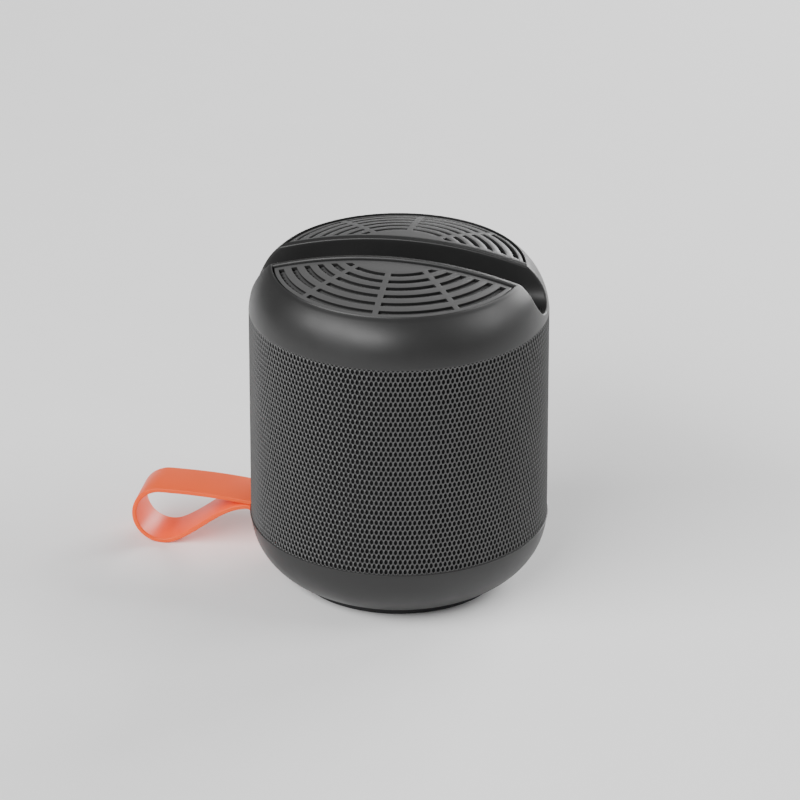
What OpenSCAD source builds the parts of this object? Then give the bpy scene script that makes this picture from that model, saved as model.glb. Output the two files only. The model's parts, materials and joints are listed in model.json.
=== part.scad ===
// Portable speaker with a phone slot across the top, a perforated sleeve and a wrist loop.
// The origin is on the axis, at the surface that the foot ring rests on. The slot runs along X,
// the rear control panel faces +Y, and +Z is up.

/* [Body] */
// Radius of the perforated sleeve
body_r = 42; // [41:0.5:44]
// Height of the bottom cap's upper edge
sleeve_low = 18.5; // [18:0.5:19]
// Height of the top cap's lower edge
sleeve_top = 81.1; // [80:0.1:83]
// Thickness of the sleeve's metal
sleeve_t = 0.8; // [0.6:0.1:0.8]
// Thickness of the moulded walls
wall_t = 2.2; // [2:0.1:2.4]

/* [Top cap] */
// Radius of the edge between the shoulder and the dome
rim_r = 35.9; // [35.8:0.1:36.2]
// Height of that edge
rim_z = 93.9; // [93.6:0.1:94.4]
// Height of the dome's crown
crown_z = 99.5; // [99:0.1:100.5]
// Half width of the phone slot
slot_half = 5.8; // [5.5:0.1:6.2]
// Height of the phone slot's floor
slot_floor = 83.3; // [83.2:0.1:84.5]

/* [Grille inserts] */
// Outer radius of the half-moon inserts
insert_r = 34.7; // [34.4:0.1:34.9]
// Distance of their straight edge from the slot's centre plane
insert_y = 8.6; // [8.4:0.1:9]
// Thickness of the inserts
insert_t = 1; // [0.9:0.1:1.5]
// Number of rows of arc slots
row_n = 6; // [4:1:6]
// Middle radius of the innermost row
row_r = 15.75; // [15.3:0.05:15.8]
// Distance from one row to the next
row_pitch = 3.43; // [3:0.01:3.45]
// Width of a slot
row_w = 1.4; // [1:0.1:1.6]
// Angle between the middle rib and the side ribs
rib_angle = 39.5; // [36:0.5:44]
// Width of the ribs
rib_w = 1.7; // [1.4:0.1:2]

/* [Bottom cap] */
// Height of the base above the floor
base_z = 2; // [1.6:0.1:2.4]
// How far the side curves in
base_in = 20; // [18:0.5:20]
// Depth of that curve
base_down = 18.7; // [18.5:0.1:19]

/* [Wrist strap] */
// Width of the strap
strap_w = 14.2; // [13:0.1:14.4]
// Thickness of the strap
strap_t = 1.4; // [1.2:0.1:1.5]
// Height of the strap's pin
pin_z = 11.5; // [11:0.1:12]
// Radius of the strap's pin
pin_r = 1.25; // [1:0.05:1.3]

/* [Rear panel] */
// Half angle of the panel's inner part
panel_half = 14.5; // [14:0.1:15]
// Outer radius of the panel
panel_r = 43; // [42.8:0.1:43.2]
// Radius of a button
button_r = 3.9; // [3.5:0.1:4]
// How far a button travels
button_travel = 0.6; // [0.4:0.1:0.6]

/* [Hidden] */

$fn = 96;
over = 1;
fit = 0.1;
free = 0.3;

// Dome and shoulder
dome_rise = crown_z - rim_z;
dome_r = (rim_r * rim_r + dome_rise * dome_rise) / (2 * dome_rise);
shoulder_in = 15.5;
shoulder_up = 17.7;
shoulder_end = acos(1 - (body_r - rim_r) / shoulder_in);
shoulder_z = rim_z - shoulder_up * sin(shoulder_end);
plate_drop = 0.3;
mesh_t = 0.6;
ledge_t = 1.6;
pocket_r = insert_r + 0.5;
pocket_y = slot_half + 2.1;
window_r = insert_r - 1.1;
slot_end_y = insert_y + 1.5;
trough_t = 1.8;
trough_z = slot_floor + slot_half;

// Collars that locate the sleeve
collar_r = body_r - sleeve_t - 0.2;
collar_h = 3;
collar_t = 2;
cloth_t = 0.3;

// Foot ring, set into the base, and the screws above it
foot_in = 23.4;
foot_out = 29.4;
foot_set = 0.5;
head_r = 2.3;
head_t = 1.5;
head_z = base_z + foot_set + 0.2;

// Cabinet
cab_r = 38;
cab_t = 2;
cab_back = 31.5;
cab_low = sleeve_low;
cab_top = 62;
flange_t = 2;
flange_r = 22;
baffle_t = 2.5;
baffle_z = cab_top + baffle_t;
base_screw_r = 26.5;
screw_r = 1.25;
post_r = 2.6;
post_ring = 32.5;
post_top = 84;

// Driver
drv_open = 24.5;
drv_flange = 28.4;
drv_screw_ring = 26.4;
cone_r = 18.8;
cone_z = 66.7;
neck_r = 8.2;
neck_z = 56;
plate_z = 52;
top_plate_t = 3;
magnet_t = 8;
yoke_t = 3;
magnet_r = 17.5;
pole_r = 7;
coil_in = 7.35;
coil_out = 8;
gap_out = 8.4;
basket_low = plate_z + 1.4;

// Passive radiator
pr_z = 4.4;
pr_open = 20.5;
pr_frame_out = 23.2;
pr_frame_in = 17.6;
pr_roll_r = 15.4;
pr_roll = 2;
pr_disc = 13.1;

// Strap: the pin, the pocket and the loop's side outline
pin_x = -35.5;
strap_y = 8.1;
pocket_side = strap_w / 2 + 1;
pocket_low = 7.2;
pocket_top = 17.4;
pocket_back = -31.8;
housing_t = 1.7;
strap_mid = strap_t / 2;
wrap_r = pin_r + 0.08 + strap_mid;
loop_c = [-69.7, 8.7];
loop_r = loop_c[1] - strap_mid;
pinch_x = -44.5;
pinch_z = 14.65;
pinch_gap = 0.25;

// Rear panel
mouth_half = 14.8;
lip_half = 15.6;
panel_in = 41;
panel_low = sleeve_low + 0.1;
panel_top = sleeve_top - 0.1;
button_z = [74.8, 65.2, 55.6, 46];
light_z = 40.4;
flap_low = 22.6;
flap_top = 36.4;
flap_right = 7.2;
hinge_x = -7.9;
hinge_ring = 41.95;
barrel_r = 0.95;
flap_pin_r = 0.5;
port_z = 29.5;
board_face = 36.2;
board_t = 1.2;
button_back = 39.5;

function hinge_y() = sqrt(hinge_ring * hinge_ring - hinge_x * hinge_x);
function dome_at(r, drop) = crown_z - drop - dome_r + sqrt(dome_r * dome_r - r * r);
function arc_points(c, r, from, to, n) =
    [for (i = [0 : n]) let (a = from + (to - from) * i / n) c + r * [cos(a), sin(a)]];
function bezier(p, n) =
    [for (i = [0 : n]) let (t = i / n, s = 1 - t)
        s * s * s * p[0] + 3 * s * s * t * p[1] + 3 * s * t * t * p[2] + t * t * t * p[3]];
function unit(v) = v / norm(v);
function side(a, b) = let (d = unit(b - a)) [-d[1], d[0]];
function reversed(list) = [for (i = [len(list) - 1 : -1 : 0]) list[i]];

// Outer outline of the bottom cap, from the base up to its upper edge
function base_curve(inset) =
    [for (i = [0 : 20])
        let (low = asin((sleeve_low + 0.35 - base_z) / base_down), a = low * (1 - i / 20))
        [body_r - inset - base_in * (1 - cos(a)), sleeve_low + 0.35 - (base_down - inset) * sin(a)]];

// Outer outline of the top cap, from its lower edge to the rim
function shoulder_curve(inset) =
    [for (i = [0 : 14])
        let (low = asin(max(0, (sleeve_top - shoulder_z) / shoulder_up)),
             a = low + (shoulder_end - low) * i / 14)
        [body_r - inset - (shoulder_in - inset) * (1 - cos(a)),
         shoulder_z + (shoulder_up - inset) * sin(a)]];

function dome_curve(from, to, drop, n) =
    [for (i = [0 : n]) let (r = from + (to - from) * i / n) [r, dome_at(r, drop)]];

module ring(r_out, r_in, z, h) {
    translate([0, 0, z])
        difference() {
            cylinder(r = r_out, h = h);
            translate([0, 0, -over])
                cylinder(r = r_in, h = h + 2 * over);
        }
}

module disc(r, z, h) {
    translate([0, 0, z])
        cylinder(r = r, h = h);
}

module rod(r, z, h) {
    translate([0, 0, z])
        cylinder(r = r, h = h, $fn = 32);
}

// A solid swept round the rear, symmetric about +Y
module rear_arc(r_in, r_out, half, low, high) {
    rotate([0, 0, 90 - half])
        rotate_extrude(angle = 2 * half)
            translate([r_in, low])
                square([r_out - r_in, high - low]);
}

module block(x0, x1, y0, y1, z0, z1) {
    translate([x0, y0, z0])
        cube([x1 - x0, y1 - y0, z1 - z0]);
}

module four(ring_r, from) {
    for (i = [0 : 3])
        rotate([0, 0, from + 90 * i])
            translate([ring_r, 0, 0])
                children();
}

// ---------- bottom ----------

module bottom_cap() {
    color("#4d4d4f")
        difference() {
            union() {
                difference() {
                    rotate_extrude()
                        polygon(concat(
                            [[0, base_z]], base_curve(0),
                            [[body_r + 0.12, sleeve_low - 0.25], [body_r + 0.12, sleeve_low - 0.1],
                             [body_r, sleeve_low], [0, sleeve_low]]));
                    rotate_extrude()
                        polygon(concat(
                            [[0, pr_z], [base_curve(0)[0][0] - 1.6, pr_z]],
                            [for (p = base_curve(wall_t)) if (p[1] > pr_z + 1) p],
                            [[body_r - wall_t, sleeve_low + over], [0, sleeve_low + over]]));
                }
                open_tube(collar_r, collar_r - collar_t, sleeve_low - 2, sleeve_low + collar_h);
                ring(collar_r - 0.5, cab_r - 2.6, sleeve_low - 2, 2);
                four(base_screw_r, 45)
                    translate([0, 0, base_z + 0.1])
                        cylinder(r = 3, h = sleeve_low - base_z - 0.1, $fn = 48);
                intersection() {
                    block(-41, pocket_back + housing_t, strap_y - pocket_side - housing_t,
                        strap_y + pocket_side + housing_t, pr_z - 0.4, sleeve_low);
                    rotate_extrude()
                        polygon(concat([[0, base_z]], base_curve(0.6),
                            [[body_r - 0.6, sleeve_low], [0, sleeve_low]]));
                }
            }
            disc(pr_open, base_z - over, pr_z - base_z + 2 * over);
            block(-50, pocket_back, strap_y - pocket_side, strap_y + pocket_side,
                pocket_low, pocket_top);
            translate([pin_x, strap_y - pocket_side - 1.5, pin_z])
                rotate([-90, 0, 0])
                    cylinder(r = pin_r, h = 2 * pocket_side + 3, $fn = 32);
            four(base_screw_r, 45) {
                rod(screw_r, 0, sleeve_low + over);
                rod(head_r + free, 0, head_z + head_t + fit);
            }
            ring(foot_out + fit, foot_in - fit, base_z - over, over + foot_set + fit);
        }
}

module foot_ring() {
    color("#1d1d1e")
        ring(foot_out, foot_in, 0, base_z + foot_set);
}

module base_screws() {
    color("#8b8d90")
        four(base_screw_r, 45)
            difference() {
                union() {
                    rod(head_r, head_z, head_t);
                    rod(screw_r - 0.05, head_z + head_t - fit, 19.5);
                }
                translate([0, 0, head_z - over])
                    cylinder(r = 0.9, h = over + 1, $fn = 6);
            }
}

module strap_pin() {
    color("#a9abad")
        translate([pin_x, strap_y - pocket_side - 1.4, pin_z])
            rotate([-90, 0, 0])
                cylinder(r = pin_r, h = 2 * pocket_side + 2.8, $fn = 48);
}

// Middle line of the strap seen from the side: round the pin, out along the top, round the loop
function strap_line() =
    let (pin = [pin_x, pin_z],
         half = strap_mid + pinch_gap / 2,
         tilt = 158,
         up = [pinch_x, pinch_z + half],
         low = [pinch_x, pinch_z - half],
         leave = pin + wrap_r * [cos(tilt - 90), sin(tilt - 90)],
         come = pin + wrap_r * [cos(tilt + 90), sin(tilt + 90)],
         top = loop_c + [0.5, loop_r],
         out_a = 296,
         out = loop_c + loop_r * [cos(out_a), sin(out_a)],
         out_d = [-sin(out_a), cos(out_a)])
    concat(
        bezier([leave, leave + 2.4 * [cos(tilt), sin(tilt)], up + [2.6, -0.35], up], 8),
        [for (p = bezier([up, up + [-9, 1.1], top + [9, 0], top], 14)) if (p != up) p],
        [for (p = arc_points(loop_c, loop_r, 90, out_a, 34)) if (norm(p - top) > 0.8) p],
        [for (p = bezier([out, out + 9 * out_d, low + [-8, -0.6], low], 16)) if (p != out) p],
        [for (p = bezier([low, low + [2.6, -0.35], come + 2.4 * [cos(tilt), sin(tilt)], come], 8))
            if (p != low) p],
        [for (p = arc_points(pin, wrap_r, tilt + 90, tilt + 270, 24))
            if (norm(p - come) > 0.1 && norm(p - leave) > 0.1) p]);

module wrist_strap() {
    line = strap_line();
    n = len(line);
    normals = [for (i = [0 : n - 1]) side(line[(i + n - 1) % n], line[(i + 1) % n])];
    color("#f26a38")
        translate([0, strap_y + strap_w / 2, 0])
            rotate([90, 0, 0])
                linear_extrude(strap_w)
                    difference() {
                        polygon([for (i = [0 : n - 1]) line[i] - normals[i] * strap_mid]);
                        polygon([for (i = [0 : n - 1]) line[i] + normals[i] * strap_mid]);
                    }
}

// ---------- passive radiator ----------

module passive_frame() {
    color("#3a3a3c")
        difference() {
            ring(pr_frame_out, pr_frame_in, pr_z, 2.6);
            disc(pr_frame_in + 1.4, pr_z - over, over + 0.9);
        }
}

// Half roll between a flat inner and a flat outer flange, bulging down or up
module roll(r_mid, r_roll, t, flange_in, flange_out, z, way) {
    outer = arc_points([r_mid, 0], r_roll, 180, 0, 18);
    inner = arc_points([r_mid, 0], r_roll - t, 0, 180, 18);
    rotate_extrude()
        translate([0, z])
            polygon([for (p = concat(
                [[flange_in, 0]], outer, [[flange_out, 0], [flange_out, -t]],
                inner, [[flange_in, -t]])) [p[0], way * p[1]]]);
}

module passive_surround() {
    color("#232324")
        roll(pr_roll_r, pr_roll, 0.5, pr_disc + 0.1, pr_frame_in + 1.3, pr_z + 0.35, -1);
}

module passive_diaphragm() {
    color("#2e2e30")
        rotate_extrude()
            polygon([[0, pr_z - 0.5], [pr_disc - 2.2, pr_z - 0.5], [pr_disc - 1, pr_z - 1.1],
                [pr_disc, pr_z - 1.1], [pr_disc, pr_z + 1.5], [0, pr_z + 1.5]]);
}

module passive_weight() {
    color("#9a9c9f")
        ring(9, 2, pr_z + 1.5, 1.5);
}

// ---------- cabinet and electronics ----------

module d_tube(r, back, z, h) {
    intersection() {
        translate([0, 0, z])
            cylinder(r = r, h = h);
        block(-r - over, r + over, -r - over, back, z - over, z + h + over);
    }
}

module cabinet() {
    color("#59595b")
        difference() {
            union() {
                difference() {
                    d_tube(cab_r, cab_back, cab_low, cab_top - cab_low);
                    d_tube(cab_r - cab_t, cab_back - cab_t, cab_low - over,
                        cab_top - cab_low + 2 * over);
                }
                difference() {
                    d_tube(cab_r, cab_back, cab_low, flange_t);
                    disc(flange_r, cab_low - over, flange_t + 2 * over);
                }
                four(base_screw_r, 45)
                    rod(3, cab_low, 7);
                for (x = [-16, 16], z = [26, 48])
                    translate([x, 0, z])
                        rotate([-90, 0, 0])
                            translate([0, 0, 27.2])
                                cylinder(r = 2.2, h = cab_back - 27.2, $fn = 32);
            }
            four(base_screw_r, 45)
                rod(screw_r, cab_low - over, 7);
            for (x = [-16, 16], z = [26, 48])
                translate([x, 0, z])
                    rotate([-90, 0, 0])
                        translate([0, 0, 26])
                            cylinder(r = 0.8, h = 4, $fn = 24);
        }
}

module battery_pack() {
    color("#3f6ea5")
        translate([0, 0, cab_low + flange_t + 0.1])
            linear_extrude(9)
                offset(r = 1.5, $fn = 24)
                    square([45, 26], center = true);
}

module battery_foam() {
    color("#2a2a2b")
        block(-18, 18, -11, 11, cab_low + flange_t + 9.2, cab_low + flange_t + 11.2);
}

module main_board() {
    color("#1f6a3d")
        difference() {
            block(-20, 20, 25.5, 27.1, 22, 53);
            for (x = [-16, 16], z = [26, 48])
                translate([x, 0, z])
                    rotate([-90, 0, 0])
                        translate([0, 0, 24])
                            cylinder(r = 0.95, h = 5, $fn = 24);
        }
}

module board_chips() {
    color("#222225") {
        block(-9, -1, 24.3, 25.5, 36, 44);
        block(3, 9, 24.5, 25.5, 38, 43);
        block(-12, -7, 24.6, 25.5, 28, 31.5);
        block(-4, 8, 22.5, 25.5, 22.6, 27);
        for (x = [0, 6, 12])
            translate([x, 25.5, 49])
                rotate([90, 0, 0])
                    cylinder(r = 2.2, h = 4.5, $fn = 32);
    }
}

module board_screws() {
    color("#8b8d90")
        for (x = [-16, 16], z = [26, 48])
            translate([x, 25.5, z])
                rotate([90, 0, 0]) {
                    cylinder(r = 1.6, h = 0.9, $fn = 32);
                    translate([0, 0, -3.6])
                        cylinder(r = 0.75, h = 3.7, $fn = 24);
                }
}

module baffle() {
    color("#59595b")
        difference() {
            d_tube(cab_r + 0.8, cab_back, cab_top, baffle_t);
            rod(drv_open - 1.4, cab_top - over, baffle_t + 2 * over);
            four(drv_screw_ring, 0)
                rod(0.9, cab_top + 0.5, baffle_t);
            four(post_ring, 45)
                rod(screw_r, cab_top - over, baffle_t + 2 * over);
        }
}

// ---------- driver ----------

module driver_gasket() {
    color("#2a2a2b")
        difference() {
            ring(drv_flange - 0.2, drv_open - 0.6, baffle_z, 0.6);
            four(drv_screw_ring, 0)
                rod(1, baffle_z - over, 3);
        }
}

module driver_basket() {
    z = baffle_z + 0.6;
    color("#606163")
        difference() {
            rotate_extrude()
                polygon([
                    [9.6, plate_z], [16.8, plate_z], [22.6, z - 1.5], [22.6, z],
                    [drv_flange, z], [drv_flange, z + 1.2], [21.3, z + 1.2], [21.3, z - 0.6],
                    [16.4, basket_low + 1.8], [15.3, basket_low + 1.8], [15.3, basket_low],
                    [9.6, basket_low]]);
            for (i = [0 : 3])
                rotate([0, 0, 90 * i + 45])
                    block(11, 40, -7.5, 7.5, basket_low + 2.4, z - 1.9);
            four(drv_screw_ring, 0)
                rod(1, z - over, 4);
        }
}

module driver_screws() {
    color("#8b8d90")
        four(drv_screw_ring, 0) {
            rod(1.8, baffle_z + 1.8, 0.9);
            rod(0.85, cab_top + 0.8, baffle_z + 1.9 - cab_top - 0.8);
        }
}

module driver_yoke() {
    low = plate_z - top_plate_t - magnet_t - yoke_t;
    color("#77797c")
        rotate_extrude()
            polygon([[0, low], [magnet_r - 0.8, low], [magnet_r, low + 0.8],
                [magnet_r, low + yoke_t], [pole_r, low + yoke_t], [pole_r, plate_z], [0, plate_z]]);
}

module driver_magnet() {
    color("#2c2c2f")
        ring(magnet_r + 0.8, 10, plate_z - top_plate_t - magnet_t, magnet_t);
}

module driver_top_plate() {
    color("#77797c")
        ring(magnet_r, gap_out, plate_z - top_plate_t, top_plate_t);
}

module driver_spider() {
    folds = 5;
    span = 15.2 - (coil_out + 0.15);
    top = [for (i = [0 : 40])
        let (t = i / 40) [coil_out + 0.15 + span * t, basket_low + 0.9 + 0.35 * sin(360 * folds * t)]];
    color("#b98f4a")
        rotate_extrude()
            polygon(concat(top, [for (p = reversed(top)) [p[0], p[1] - 0.3]]));
}

module driver_cone() {
    color("#2b2b2e")
        rotate_extrude()
            polygon([[coil_out + 0.1, neck_z], [neck_r + 0.8, neck_z], [cone_r, cone_z - 0.5],
                [cone_r, cone_z], [cone_r - 0.4, cone_z], [coil_out + 0.1, neck_z + 0.7]]);
}

module driver_surround() {
    z = baffle_z + 0.6 + 1.2;
    color("#19191b")
        roll(20.9, 1.7, 0.45, cone_r + 0.1, 24, z + 0.45, 1);
}

module voice_coil() {
    color("#b5733a") {
        ring(coil_in + 0.15, coil_in, plate_z - 3.6, neck_z + 0.9 - plate_z + 3.6);
        ring(coil_out, coil_in + 0.15, plate_z - 3.2, 3.4);
    }
}

module dust_cap() {
    cap_r = 9.5;
    sphere_r = 13;
    seat = neck_z + 2.15;
    z0 = seat - sqrt(sphere_r * sphere_r - cap_r * cap_r);
    top = 90 - asin(cap_r / sphere_r);
    color("#232326")
        rotate_extrude()
            translate([0, z0])
                polygon(concat(arc_points([0, 0], sphere_r, top, 90, 14),
                    arc_points([0, 0], sphere_r - 0.4, 90, top + 1, 14)));
}

// ---------- top ----------

module cap_screws() {
    color("#8b8d90")
        four(post_ring, 45) {
            rod(2.2, cab_top - 1.5, 1.5);
            rod(screw_r - 0.05, cab_top - 0.5, 12);
        }
}

// The half space that one insert sits in: side is -1 for the front and 1 for the rear
module half_moon(side, r, y, z0, z1) {
    intersection() {
        translate([0, 0, z0])
            cylinder(r = r, h = z1 - z0);
        translate([-50, side > 0 ? y : -50 - y, z0 - over])
            cube([100, 50, z1 - z0 + 2 * over]);
    }
}

module u_solid(half, low, length) {
    translate([-length / 2, 0, 0]) {
        translate([0, 0, trough_z])
            rotate([0, 90, 0])
                cylinder(r = half, h = length);
        translate([0, -half, trough_z])
            cube([length, 2 * half, low]);
    }
}

module cap_shell(under) {
    rotate_extrude()
        polygon(concat(
            shoulder_curve(0), dome_curve(rim_r - 0.1, 0, 0, 10),
            dome_curve(0, rim_r - 1.2, under, 10),
            [for (p = reversed(shoulder_curve(wall_t))) if (p[1] < rim_z - under - 1) p],
            [[body_r - wall_t, sleeve_top]]));
    open_tube(collar_r, collar_r - collar_t, sleeve_top - collar_h, sleeve_top + 0.6);
}

// The slot's own wall, kept inside the shell
module slot_trough() {
    inner = body_r - wall_t + fit;
    intersection() {
        u_solid(slot_half + trough_t, 20, 100);
        rotate_extrude()
            polygon(concat(
                [[0, 79.5], [inner, 79.5], [inner, sleeve_top + 1]],
                [for (p = shoulder_curve(1.1)) if (p[1] > sleeve_top + 1.2 && p[1] < rim_z - 3) p],
                dome_curve(rim_r - 3, 0, 1, 8)));
    }
}

module cap_posts() {
    for (i = [0 : 3])
        rotate([0, 0, 45 + 90 * i]) {
            translate([post_ring, 0, baffle_z])
                cylinder(r = post_r, h = post_top - baffle_z, $fn = 48);
            block(post_ring, body_r - 1.4, -1, 1, sleeve_top + 0.9, post_top - 0.5);
        }
}

module top_cap() {
    seat = plate_drop + insert_t + mesh_t + fit;
    color("#4d4d4f")
        difference() {
            union() {
                cap_shell(seat + ledge_t);
                slot_trough();
                cap_posts();
            }
            u_solid(slot_half, 20, 120);
            for (side = [-1, 1]) {
                intersection() {
                    half_moon(side, pocket_r, pocket_y, 80, 110);
                    rotate_extrude()
                        polygon(concat([[0, 110]], dome_curve(0, 36, seat, 10), [[36, 110]]));
                }
                half_moon(side, window_r, slot_end_y, post_top + 0.2, 110);
            }
            four(post_ring, 45)
                rod(screw_r, baffle_z - over, 11);
        }
}

// A shell that follows the dome, between two depths below it
module dome_shell(r, drop, t) {
    rotate_extrude()
        polygon(concat(dome_curve(0, r, drop, 20), dome_curve(r, 0, drop + t, 20)));
}

module insert(side) {
    difference() {
        intersection() {
            dome_shell(insert_r, plate_drop, insert_t);
            half_moon(side, insert_r, insert_y, 80, 110);
        }
        difference() {
            for (i = [0 : row_n - 1])
                ring(row_r + row_pitch * i + row_w / 2, row_r + row_pitch * i - row_w / 2, 80, 25);
            block(-50, 50, -slot_end_y, slot_end_y, 70, 120);
            for (a = [-rib_angle, 0, rib_angle])
                rotate([0, 0, a])
                    block(-rib_w / 2, rib_w / 2, -50, 50, 70, 120);
        }
    }
}

module front_grille_insert() {
    color("#6a6a6c")
        insert(-1);
}

module rear_grille_insert() {
    color("#6a6a6c")
        insert(1);
}

module under_mesh(side) {
    color("#3b3b3d")
        intersection() {
            dome_shell(insert_r, plate_drop + insert_t + fit / 2, mesh_t);
            half_moon(side, insert_r, insert_y, 80, 110);
        }
}

module front_grille_mesh() {
    under_mesh(-1);
}

module rear_grille_mesh() {
    under_mesh(1);
}

// ---------- sleeve ----------

module open_tube(r_out, r_in, low, high) {
    rotate([0, 0, 90 + mouth_half])
        rotate_extrude(angle = 360 - 2 * mouth_half)
            translate([r_in, low])
                square([r_out - r_in, high - low]);
}

module speaker_grille() {
    color("#6e6e70")
        open_tube(body_r, body_r - sleeve_t, sleeve_low, sleeve_top);
}

module dust_cloth() {
    color("#151516")
        open_tube(collar_r - 0.1, collar_r - 0.1 - cloth_t, sleeve_low + collar_h + fit,
            sleeve_top - collar_h - fit);
}

// ---------- rear panel ----------

module control_panel() {
    pocket_x0 = hinge_x - barrel_r - free;
    pocket_x1 = flap_right + free;
    color("#47474a")
        difference() {
            union() {
                rear_arc(panel_in, body_r + 0.6, panel_half, panel_low, panel_top);
                rear_arc(body_r + 0.1, panel_r, lip_half, panel_low, panel_top);
                for (s = [-1, 1])
                    block(s > 0 ? 7.3 : -8.5, s > 0 ? 8.5 : -7.3, 34.8, 41.3, 38.5, 77.6);
                block(-9.2, 9.2, 37.9, 39.4, 21.8, 37.2);
                block(-9.2, 9.2, 37.9, 41.3, 37.2, 38.5);
                block(-9.2, 9.2, 37.9, 41.3, 21.8, 22.2);
                block(8, 9.2, 37.9, 41.3, 21.8, 38);
                block(-9.9, -9, 37.9, 41.2, 21.9, 38);
            }
            intersection() {
                block(pocket_x0, pocket_x1, 39.4, 50, flap_low - free, flap_top + free);
                translate([0, 0, 10])
                    cylinder(r = 60, h = 60);
            }
            for (z = button_z)
                radial_rod(button_r + free, z, 39, 50);
            radial_rod(0.85, light_z, 36, 50);
            block(-4.65, 4.65, 30, 45, port_z - 1.75, port_z + 1.75);
            translate([hinge_x, hinge_y(), flap_low - 1.5])
                cylinder(r = flap_pin_r, h = flap_top - flap_low + 3, $fn = 24);
        }
}

// A round bar along Y at height z
module radial_rod(r, z, y0, y1) {
    translate([0, y0, z])
        rotate([-90, 0, 0])
            cylinder(r = r, h = y1 - y0, $fn = 48);
}

module button(z) {
    intersection() {
        radial_rod(button_r, z, button_back + fit, 50);
        rotate_extrude()
            polygon([[30, z - 6], [panel_r + 0.4, z - 6], [panel_r + 0.4, z + 6], [30, z + 6]]);
    }
    radial_rod(button_r + 0.8, z, button_back, button_back + 0.8);
}

module power_button() {
    color("#2c2c2e")
        button(button_z[0]);
}

module volume_up_button() {
    color("#2c2c2e")
        button(button_z[1]);
}

module play_button() {
    color("#2c2c2e")
        button(button_z[2]);
}

module volume_down_button() {
    color("#2c2c2e")
        button(button_z[3]);
}

module control_board() {
    color("#1f6a3d")
        block(-7.1, 7.1, board_face - board_t, board_face, 39, 78);
}

module key_switches() {
    color("#b9babc")
        for (z = button_z) {
            block(-1.7, 1.7, board_face, board_face + 1.6, z - 1.7, z + 1.7);
            radial_rod(0.9, z, board_face + 1.6, button_back - free - button_travel);
        }
}

module status_light() {
    color("#e8e9ea")
        intersection() {
            radial_rod(0.75, light_z, board_face + 0.6, 50);
            rotate_extrude()
                polygon([[30, light_z - 3], [panel_r, light_z - 3], [panel_r, light_z + 3],
                    [30, light_z + 3]]);
        }
}

module port_board() {
    color("#1f6a3d")
        block(-7, 7, 32, 37.8, port_z - 2.9, port_z - 1.65);
}

module charge_port() {
    color("#a9abad")
        difference() {
            block(-4.5, 4.5, 32.2, 39.4, port_z - 1.65, port_z + 1.65);
            block(-4.2, 4.2, 33, 45, port_z - 1.3, port_z + 1.3);
        }
}

module port_tongue() {
    color("#232325")
        block(-3.35, 3.35, 33, 38.6, port_z - 0.35, port_z + 0.35);
}

module port_flap() {
    mid = (flap_low + flap_top) / 2;
    color("#2c2c2e")
        difference() {
            union() {
                intersection() {
                    rear_arc(panel_in + 0.3, panel_r, 20, flap_low, flap_top);
                    block(hinge_x + 0.2, flap_right, 30, 50, flap_low, flap_top);
                }
                translate([hinge_x, hinge_y(), flap_low + 0.2])
                    rotate([0, 0, 180])
                        cylinder(r = barrel_r, h = flap_top - flap_low - 0.4, $fn = 48);
                block(-5, 5, 40, 41.8, mid - 4, mid + 4);
            }
            translate([hinge_x, hinge_y(), flap_low - over])
                cylinder(r = flap_pin_r + 0.05, h = flap_top - flap_low + 2 * over, $fn = 48);
        }
}

module flap_pin() {
    color("#a9abad")
        translate([hinge_x, hinge_y(), flap_low - 1.4])
            cylinder(r = flap_pin_r, h = flap_top - flap_low + 2.8, $fn = 48);
}

bottom_cap();
foot_ring();
base_screws();
strap_pin();
wrist_strap();
passive_frame();
passive_surround();
passive_diaphragm();
passive_weight();
cabinet();
battery_pack();
battery_foam();
main_board();
board_chips();
board_screws();
baffle();
driver_gasket();
driver_basket();
driver_screws();
driver_yoke();
driver_magnet();
driver_top_plate();
driver_spider();
driver_cone();
driver_surround();
voice_coil();
dust_cap();
cap_screws();
top_cap();
front_grille_insert();
rear_grille_insert();
front_grille_mesh();
rear_grille_mesh();
speaker_grille();
dust_cloth();
control_panel();
power_button();
volume_down_button();
play_button();
volume_up_button();
control_board();
key_switches();
status_light();
port_board();
charge_port();
port_tongue();
port_flap();
flap_pin();
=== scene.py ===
import json
import math

import bmesh
import bpy
from bpy.props import FloatProperty, FloatVectorProperty, IntProperty, PointerProperty
from mathutils import Matrix, Vector


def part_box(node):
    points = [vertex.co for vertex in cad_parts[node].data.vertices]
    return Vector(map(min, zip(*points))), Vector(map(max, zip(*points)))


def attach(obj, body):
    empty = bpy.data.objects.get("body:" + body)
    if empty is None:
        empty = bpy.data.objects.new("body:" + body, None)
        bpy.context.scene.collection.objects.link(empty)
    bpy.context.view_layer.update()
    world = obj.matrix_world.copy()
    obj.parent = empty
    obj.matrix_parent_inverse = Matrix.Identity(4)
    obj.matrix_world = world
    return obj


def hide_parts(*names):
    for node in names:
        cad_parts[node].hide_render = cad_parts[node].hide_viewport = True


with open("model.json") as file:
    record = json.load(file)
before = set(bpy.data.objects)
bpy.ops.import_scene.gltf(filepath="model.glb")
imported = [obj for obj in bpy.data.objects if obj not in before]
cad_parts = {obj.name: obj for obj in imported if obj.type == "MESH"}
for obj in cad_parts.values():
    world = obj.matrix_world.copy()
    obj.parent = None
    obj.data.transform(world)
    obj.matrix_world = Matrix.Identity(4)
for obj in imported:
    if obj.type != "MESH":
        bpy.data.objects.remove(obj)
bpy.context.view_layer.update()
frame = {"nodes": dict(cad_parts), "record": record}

bl_info = {
    "name": "Portable Speaker",
    "version": (1, 0, 0),
    "blender": (4, 5, 0),
    "location": "View3D > Sidebar > Speaker",
    "description": "Builds the looks of a portable speaker with a phone slot round its packed frame",
    "category": "Object",
}

LOW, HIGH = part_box("speaker_grille")


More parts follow.
